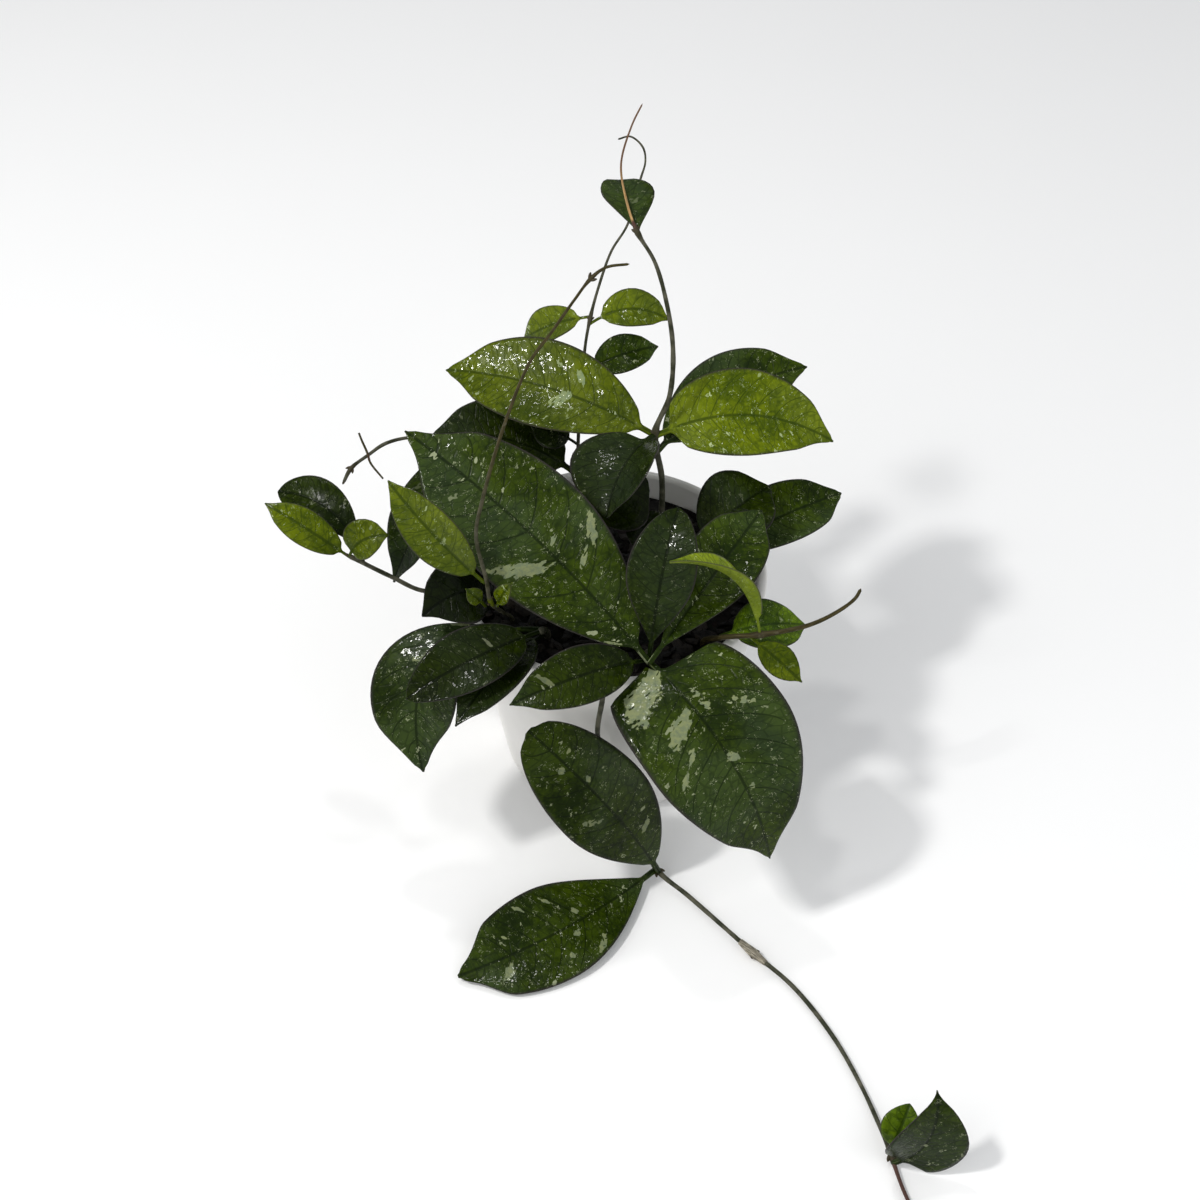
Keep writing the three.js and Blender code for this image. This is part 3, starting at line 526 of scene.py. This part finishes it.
# Each skin: its deep and light greens, vein colour, fleck strength, cream, how strong its paler clouds are
# (partly painted sheen), and the colour of its back.
mature = ((0.009, 0.018, 0.001, 1), (0.034, 0.056, 0.002, 1), (0.003, 0.007, 0.001, 1), 1.0,
          (0.2, 0.225, 0.105, 1), 0.45, (0.03, 0.042, 0.015, 1))
mature_leaf = leaf_skin("mature_leaf", 0.15, *mature)
dry_leaf = leaf_skin("dry_leaf", 0.03, *mature)
young_leaf = leaf_skin("young_leaf", 0.15, (0.036, 0.056, 0.001, 1), (0.102, 0.134, 0.002, 1),
                       (0.014, 0.027, 0.001, 1), 0.8, (0.26, 0.31, 0.13, 1), 0.2, (0.14, 0.18, 0.02, 1))


# Each leaf by its stem: which of the stem's points carries it, its tip, its width, which way its face looks,
# and how it differs from a plain leaf.
leaves = {
    "tall_stem": {
        "top_heart_leaf": (9, (3.4, 84, 232.5), 22, (0.35, -0.8, 0.6), dict(slide=-2, stalk=1, arch=-1,
            droop=4, widest=0.66, base=0.75, blunt=0.4, point=0)),
        "upper_left_leaf": (4, (-68, 62, 153), 39, (0, -0.5, 0.9), dict(stalk=3, sweep=4, widest=0.5,
            base=0.72, blunt=0.7, young=1)),
        "upper_right_leaf": (4, (89, 32, 140.3), 38, (0, -0.5, 0.9), dict(stalk=3, sweep=-8, widest=0.44,
            base=0.5, young=1)),
        "upper_right_dark_leaf": (4, (79.8, 63, 154), 34, (0, -0.4, 0.9), dict(slide=-7, stalk=3, arch=-2,
            sweep=-7, widest=0.55)),
        "folded_dark_leaf": (4, (-2.2, -8, 135), 42, (-0.5, -0.3, 0.8), dict(slide=-1, stalk=3, arch=5,
            sweep=1, fold=24, base=0.6)),
    },
    "back_stem": {
        "back_left_young_leaf": (6, (-37, 80, 153.5), 17, (0, -0.5, 0.9), dict(stalk=2, sweep=0, base=0.6,
            young=1)),
        "back_right_young_leaf": (6, (22.6, 70, 172.5), 17, (0, -0.5, 0.9), dict(stalk=2, sweep=-3,
            young=1)),
        "back_small_leaf": (5, (18.6, 66, 162), 17, (0, -0.5, 0.9), dict(slide=-10, stalk=3, sweep=0)),
        "under_upper_leaf": (3, (-75, 50, 128), 34, (0, -0.4, 0.9), dict(slide=-13, sweep=5)),
        "small_dark_leaf": (3, (-33, 46, 136), 16, (0, -0.5, 0.8), dict(slide=1, stalk=3, sweep=0)),
    },
    "front_runner": {
        "long_lime_leaf": (5, (-84, -25, 170), 20, (-0.3, -0.7, 0.6), dict(stalk=3, young=1)),
        "young_leaf_left": (4, (-56, -43, 131), 7, (0, -0.7, 0.7), dict(stalk=2, arch=1, blunt=1, young=1)),
        "young_leaf_right": (4, (-38, -50, 141), 7, (0, -0.7, 0.7), dict(stalk=2, arch=1, blunt=1, young=1)),
        "left_inner_leaf": (3, (-73.5, -44, 117), 28, (0, -0.5, 0.85), dict(arch=7, sweep=6, base=0.7)),
    },
    "left_stem": {
        "left_tip_light_leaf": (6, (-135, -8, 143), 14.5, (0, -0.6, 0.8), dict(slide=1, off=0, stalk=1.5,
            young=1)),
        "left_cupped_leaf": (6, (-87, -18, 135.5), 17, (0, -0.6, 0.8), dict(slide=-1, stalk=0.8, arch=2,
            sweep=-2, fold=20, base=0.4, young=1)),
        "left_dark_leaf": (6, (-132.3, 6, 136.4), 19, (0, -0.5, 0.9), dict(slide=-5, sweep=6, widest=0.6,
            blunt=0.6, point=0)),
    },
    "trailing_stem": {
        "leaning_leaf": (10, (-33, -68, 78), 40, (0.1, -0.75, 0.66), dict(arch=10, sweep=3, widest=0.56,
            base=0.75, blunt=0.42, point=0)),
        "table_leaf": (10, (-61, -131, 3), 41, (0, -0.3, 0.95), dict(slide=-1, arch=3, sweep=-4.5, fold=8,
            widest=0.55, base=0.9, blunt=0.5, point=0.5)),
        "end_back_leaf": (17, (108.5, -196, 17), 15, (-0.2, -0.7, 0.5), dict(slide=-2, stalk=1.5, arch=2,
            point=0)),
        "end_heart_leaf": (17, (115, -204, 39), 31, (0.2, -0.8, 0.5), dict(slide=3, stalk=2, sweep=4,
            widest=0.38, base=0.5, blunt=1.1, point=0.3)),
    },
    "right_runner": {
        "right_strap_leaf": (5, (21, -48, 150), 14, (0.65, 0.5, 0.55), dict(stalk=4, arch=10, fold=28,
            young=1)),
        "right_young_leaf": (5, (73, -59.5, 96.5), 13, (0.2, -0.6, 0.7), dict(slide=-2, stalk=1.5, arch=1,
            blunt=1, young=1)),
        "right_rim_leaf": (3, (76.5, -31, 98.5), 24, (0, -0.2, 1), dict(arch=4, fold=4)),
    },
    "centre_stem": {
        "big_left_leaf": (4, (-81, 14, 161), 50, (0.05, -0.6, 0.75), dict(sweep=4, fold=8, widest=0.49,
            base=0.82, blunt=0.65, point=0.5)),
        "big_front_leaf": (4, (61, -104, 44), 60, (0.2, -0.65, 0.7), dict(stalk=2, arch=20, sweep=-2.5,
            fold=6, widest=0.38, base=0.25, blunt=0.75, point=0.45, lobe=6)),
        "centre_dark_leaf": (4, (24, -20, 151), 28, (-0.2, -0.6, 0.75), dict(slide=-3, droop=5,
            widest=0.55, base=1, blunt=0.6, point=0)),
        "right_dark_leaf": (4, (59, 3, 129), 30, (-0.1, -0.7, 0.7), dict(slide=1.5, widest=0.6, base=0.8,
            blunt=0.6)),
        "hooked_front_leaf": (4, (-39, -79, 105), 23, (0, -0.6, 0.8), dict(slide=-2, arch=10, sweep=1,
            base=0.7)),
    },
    "right_back_stem": {
        "back_rim_leaf": (4, (64, 23, 124), 34, (0, -0.3, 0.95), dict(stalk=2, sweep=0, widest=0.55,
            base=0.5)),
        "right_green_leaf": (3, (95, 34, 110.5), 29, (0, -0.3, 0.95), dict(widest=0.58, blunt=0.65)),
        "inner_leaf_right": (3, (4, 12, 118), 20, (0, -0.5, 0.8), dict()),
    },
    "left_low_stem": {
        "left_shaded_leaf": (4, (-78, -74, 105), 26, (0, -0.4, 0.9), dict(droop=4, blunt=0.65, point=0)),
        "arching_left_leaf": (3, (-74, -78, 65), 40, (-0.4, -0.4, 0.8), dict(slide=3.5, arch=17,
            sweep=17.5, widest=0.64, base=1)),
        "under_left_leaf": (3, (-60, -80, 94), 22, (0, -0.3, 0.95), dict(slide=-4, arch=8.5, base=0.8)),
    },
    "left_arching_stem": {
        "hanging_left_leaf": (4, (-87, -16, 108), 28, (-0.6, -0.4, 0.7), dict(sweep=-4.5)),
    },
    "middle_stem": {
        "inner_leaf_left": (4, (14, 17, 132.5), 33, (0, -0.75, 0.6), dict(widest=0.62, blunt=0.5)),
    },
}

# Cream splashes by leaf: each with the share along the blade, the share across it to the left or right of the
# midrib, its size in millimetres and how much longer than wide it is along the side veins.
splashes = {
    "upper_left_leaf": [(0.41, -0.17, 3.8, 1.3), (0.36, 0.48, 2.4, 1.3)],
    "leaning_leaf": [(0.49, -0.48, 2.6, 1.6), (0.78, -0.17, 1.8, 1), (0.78, -0.67, 1.1, 1.4),
        (0.68, -0.4, 1.1, 1.4), (0.27, 0.48, 2.2, 1.5), (0.66, 0.11, 1.4, 1), (0.82, 0.31, 1.2, 1.4)],
    "table_leaf": [(0.79, -0.4, 2.8, 1.2), (0.37, -0.78, 3, 1.4), (0.44, -0.24, 2.2, 1.7),
        (0.51, -0.58, 2, 1.4), (0.49, 0.67, 1.6, 1.4), (0.39, 0.24, 1.6, 1.1),
        (0.63, 0.78, 1.7, 1.3), (0.74, 0.4, 1.3, 1)],
    "big_left_leaf": [(0.43, -0.54, 6.2, 1.6), (0.37, 0.77, 3.8, 1.2), (0.32, 0.34, 2.4, 1.7),
        (0.42, 0.14, 2.2, 1.8), (0.08, -0.89, 2.6, 1.5)],
    "big_front_leaf": [(0.05, 0.5, 9, 1.3), (0.25, 0.31, 5.2, 1.5), (0.37, 0.4, 2.2, 1.5),
        (0.47, -0.06, 2.4, 1.3), (0.17, -0.17, 1.6, 1.4), (0.23, -0.17, 2, 1.1),
        (0.45, 0.67, 2.2, 1.4), (0.63, -0.11, 1.6, 1), (0.3, -0.58, 2.6, 1.8)],
    "hooked_front_leaf": [(0.72, 0.31, 2.4, 1.9)],
    "arching_left_leaf": [(0.48, 0.2, 2.8, 1.6), (0.25, 0.95, 2.6, 0.8)],
}
# Each leaf's brightness as a share of the plain colour: partly its age, the old leaves darker and the young
# paler, and partly painted shade on leaves deep in the plant and painted light on leaves that lie in the open.
age_and_shade_tones = {
    "left_inner_leaf": 0.18, "left_shaded_leaf": 0.4, "under_left_leaf": 0.42, "inner_leaf_left": 0.35,
    "inner_leaf_right": 0.4, "small_dark_leaf": 0.45, "under_upper_leaf": 0.46, "back_rim_leaf": 0.6,
    "centre_dark_leaf": 0.56, "folded_dark_leaf": 0.58, "hooked_front_leaf": 0.6, "left_dark_leaf": 0.58,
    "end_heart_leaf": 0.77, "leaning_leaf": 0.77, "left_cupped_leaf": 0.85, "arching_left_leaf": 0.85,
    "hanging_left_leaf": 0.6, "table_leaf": 0.92, "upper_left_leaf": 0.9, "right_young_leaf": 1.05,
    "top_heart_leaf": 1.1, "upper_right_dark_leaf": 1.1, "back_small_leaf": 1.1, "right_green_leaf": 1.25,
    "right_dark_leaf": 1.2, "upper_right_leaf": 1.3, "back_left_young_leaf": 1.2,
    "back_right_young_leaf": 1.2, "end_back_leaf": 2.7, "right_rim_leaf": 3.3, "right_strap_leaf": 2.2,
}
# How strong the flecks are, where they are few.
speckle = {
    "right_rim_leaf": 0.35, "right_young_leaf": 0.2, "right_strap_leaf": 0.4, "end_back_leaf": 0.1,
    "top_heart_leaf": 0.45, "folded_dark_leaf": 0.5, "centre_dark_leaf": 0.6, "left_tip_light_leaf": 0.6,
    "back_rim_leaf": 0.5, "left_inner_leaf": 0.3, "inner_leaf_left": 0.3, "hanging_left_leaf": 0.5,
    "under_upper_leaf": 0.6, "left_cupped_leaf": 0.6, "long_lime_leaf": 0.8,
}
# The old leaves that are drier than the rest.
skins = {"left_dark_leaf": dry_leaf, "back_small_leaf": dry_leaf}
# A plain leaf: how far past its joint it grows, how far off the stem it starts (None is just clear of it), the
# stalk's length, how far the blade stands off, hangs, sweeps and folds, where it is widest, how pointed its
# base and its end are, how fine its tip is, how far one half of the base reaches back, and if it is young.
plain = dict(slide=0, off=None, stalk=4, arch=4, droop=0, sweep=0, fold=12, widest=0.48, base=0.6, blunt=0.75,
             point=0.35, lobe=0, young=0)


def step(value, low, high):
    """0 below low, 1 above high and smooth between them."""
    t = np.clip((value - low) / (high - low), 0, 1)
    return t * t * (3 - 2 * t)


def unit(vector):
    """Vectors brought to length one."""
    return vector / np.linalg.norm(vector, axis=-1, keepdims=True)


def leaf(name, line, at, tip, width, faces, shape):
    """One leaf. Its midrib runs from the stem to the tip and stands off the straight line by arch on the side
    that the face looks to and by sweep sideways, as 4s(1-s), and its end hangs by droop times the fifth power
    of s. Its outline is a power of a sine, widest at widest. The halves rise by fold degrees and the edge
    waves. The base of one half can reach back by lobe. The round stalk passes into the blade over the blade's
    first tenth."""
    places, distance, at_point, thick = line
    down = at_point[at] + shape["slide"]
    held = min(down, distance[-1])
    behind, place, ahead = (
        np.array([np.interp(held + way, distance, places[:, k]) for k in range(3)]) for way in (-0.5, 0, 0.5)
    )
    along = unit(ahead - behind)
    place = place + along * (down - held)
    tip = np.array(tip, float)
    face = np.array(faces, float)
    axis = unit(tip - place)
    face = unit(face - face @ axis * axis)
    bow = 4 * shape["arch"] * face + 4 * shape["sweep"] * np.cross(axis, face)
    heading = unit(tip - place + bow)
    lean = heading @ along
    outward = unit(heading - lean * along)
    clear = np.interp(down, distance, thick) + 0.35 + 1.3 * abs(lean)
    start = place + outward * (clear if shape["off"] is None else shape["off"])
    chord = tip - start
    length = np.linalg.norm(chord)

    def midrib(s):
        s = np.asarray(s)[..., None]
        return start + chord * s + bow * s * (1 - s) - face * shape["droop"] * np.clip(s, 0, 1) ** 5

    # stations along the leaf: from inside the stem, up the stalk and along the blade
    neck = shape["stalk"] / length
    many = int(np.clip(length / 1.7, 14, 60))
    share = np.linspace(0, 1, many)
    t = np.concatenate([np.zeros(7), 0.5 * share + 0.25 * (1 - np.cos(np.pi * share))])
    s = np.concatenate([np.linspace(-clear / length, neck, 8)[:-1], neck + (1 - neck) * t[7:]])
    bend = np.log(0.5) / np.log(shape["widest"])
    power = np.where(t < shape["widest"], shape["base"], shape["blunt"])
    oval = np.sin(np.pi * np.clip(t, 0, 0.996) ** bend) ** power
    oval = oval * (1 - shape["point"] * step(t, 0.8, 0.97)) * (1 - 0.5 * step(t, 0.97, 1))
    stalky = 1 - step(t, 0.0, 0.06)
    half = np.maximum(width / 2 * oval, 0.25)
    middle = midrib(s)
    ahead_of = unit(midrib(s + 0.01) - midrib(s - 0.01))
    across = unit(np.cross(ahead_of, face))
    up = np.cross(across, ahead_of)
    # columns across the leaf, closer together near the midrib: the face row, then the back row
    columns = 27 if width > 18 else 17
    v = np.linspace(-1, 1, columns)
    v = np.sign(v) * np.abs(v) ** 1.5
    v = np.concatenate([v, v[::-1]])[None]
    sign = np.repeat([1, -1], columns)[None]
    fold = np.radians(shape["fold"])
    s1, t1, half1, stalky1 = s[:, None], t[:, None], half[:, None], stalky[:, None]
    aside = np.abs(v) * half1
    spacing = max(length / 8, 6.5)

    def rank_at(t, v, half):
        return (t * length - 0.5 * np.abs(v) * half - 0.15 * width * np.abs(v) ** 3) / spacing

    rank = rank_at(t1, v, half1)
    rise = half1 * np.abs(v) ** 1.5 * np.sin(fold)
    rise = rise + 0.5 * v * v * (half1 / (width / 2)) * np.sin(9 * s1 + 2 * v)
    pucker = -min(0.1, width / 300) * np.cos(2 * np.pi * rank)
    pucker = pucker * step(np.abs(v), 0.05, 0.3) * (1 - step(np.abs(v), 0.8, 1))
    pucker = pucker * step(t1, 0.05, 0.2) * (1 - step(t1, 0.85, 1))
    groove = -0.25 * np.exp(-((aside / 0.7) ** 2)) * (1 - t1)
    ridge = -0.55 * np.exp(-((aside / 0.9) ** 2)) * (1 - 0.8 * t1)
    skin = 0.5 - 0.28 * np.abs(v) ** 3
    body = rise + pucker + np.where(sign > 0, skin + groove, -skin + ridge)
    out = half1 * v * np.cos(fold)
    stalk = np.clip(width / 28, 0.6, 1.25)
    round_out = stalk * np.sin(1.35 * v)
    round_up = sign * stalk * np.cos(1.35 * v)
    out = out * (1 - stalky1) + round_out * stalky1
    body = body * (1 - stalky1) + round_up * stalky1
    points = middle[:, None] + across[:, None] * out[..., None] + up[:, None] * body[..., None]
    lobe = shape["lobe"] * (1 - step(t1, 0.08, 0.5)) * np.clip(v, 0, 1) ** 1.5
    lobe = lobe * np.minimum(half1 / width * 4, 1)
    points = points - ahead_of[:, None] * lobe[..., None]
    rings, around = points.shape[:2]
    seed = sum(map(ord, name)) % 97
    # the grain leans forward a little on both halves, and each leaf reads another part of it
    behind = t1 * length - 0.3 * aside
    uv = np.stack([(out * 0.56 + seed * 7) / 100, (behind + seed * 11) / 100], -1)
    patch = 0 * points[..., 0]
    for t0, v0, size, longer in splashes.get(name, ()):
        half0 = np.interp(t0, t, half)
        ahead = (rank - rank_at(t0, v0, half0)) * spacing * longer
        gap = np.hypot(ahead, (v * half1 - v0 * half0) / longer) / size
        patch = np.maximum(patch, 1 - gap / 2)
    patch = patch * (sign > 0)
    flat = lambda numbers: np.broadcast_to(numbers, (rings, around)).ravel()
    values = {"rank": flat(rank), "rim": flat(np.abs(v) * (1 - stalky1)), "patch": flat(patch),
              "under": flat((sign < 0) * 1.0), "middle": flat(aside + 2 * stalky1),
              "age_and_shade": flat(0 * rank + age_and_shade_tones.get(name, 1)), "speckle": flat(0 * rank + speckle.get(name, 1))}
    material = young_leaf if shape["young"] else skins.get(name, mature_leaf)
    put(name + "_blade", points.reshape(-1, 3), ring_faces(rings, around), material, [name],
        uv.reshape(-1, 2), values)


for stem, growing in leaves.items():
    for name, (at, tip, width, faces, extra) in growing.items():
        leaf(name, lines[stem], at, tip, width, faces, {**plain, **extra})
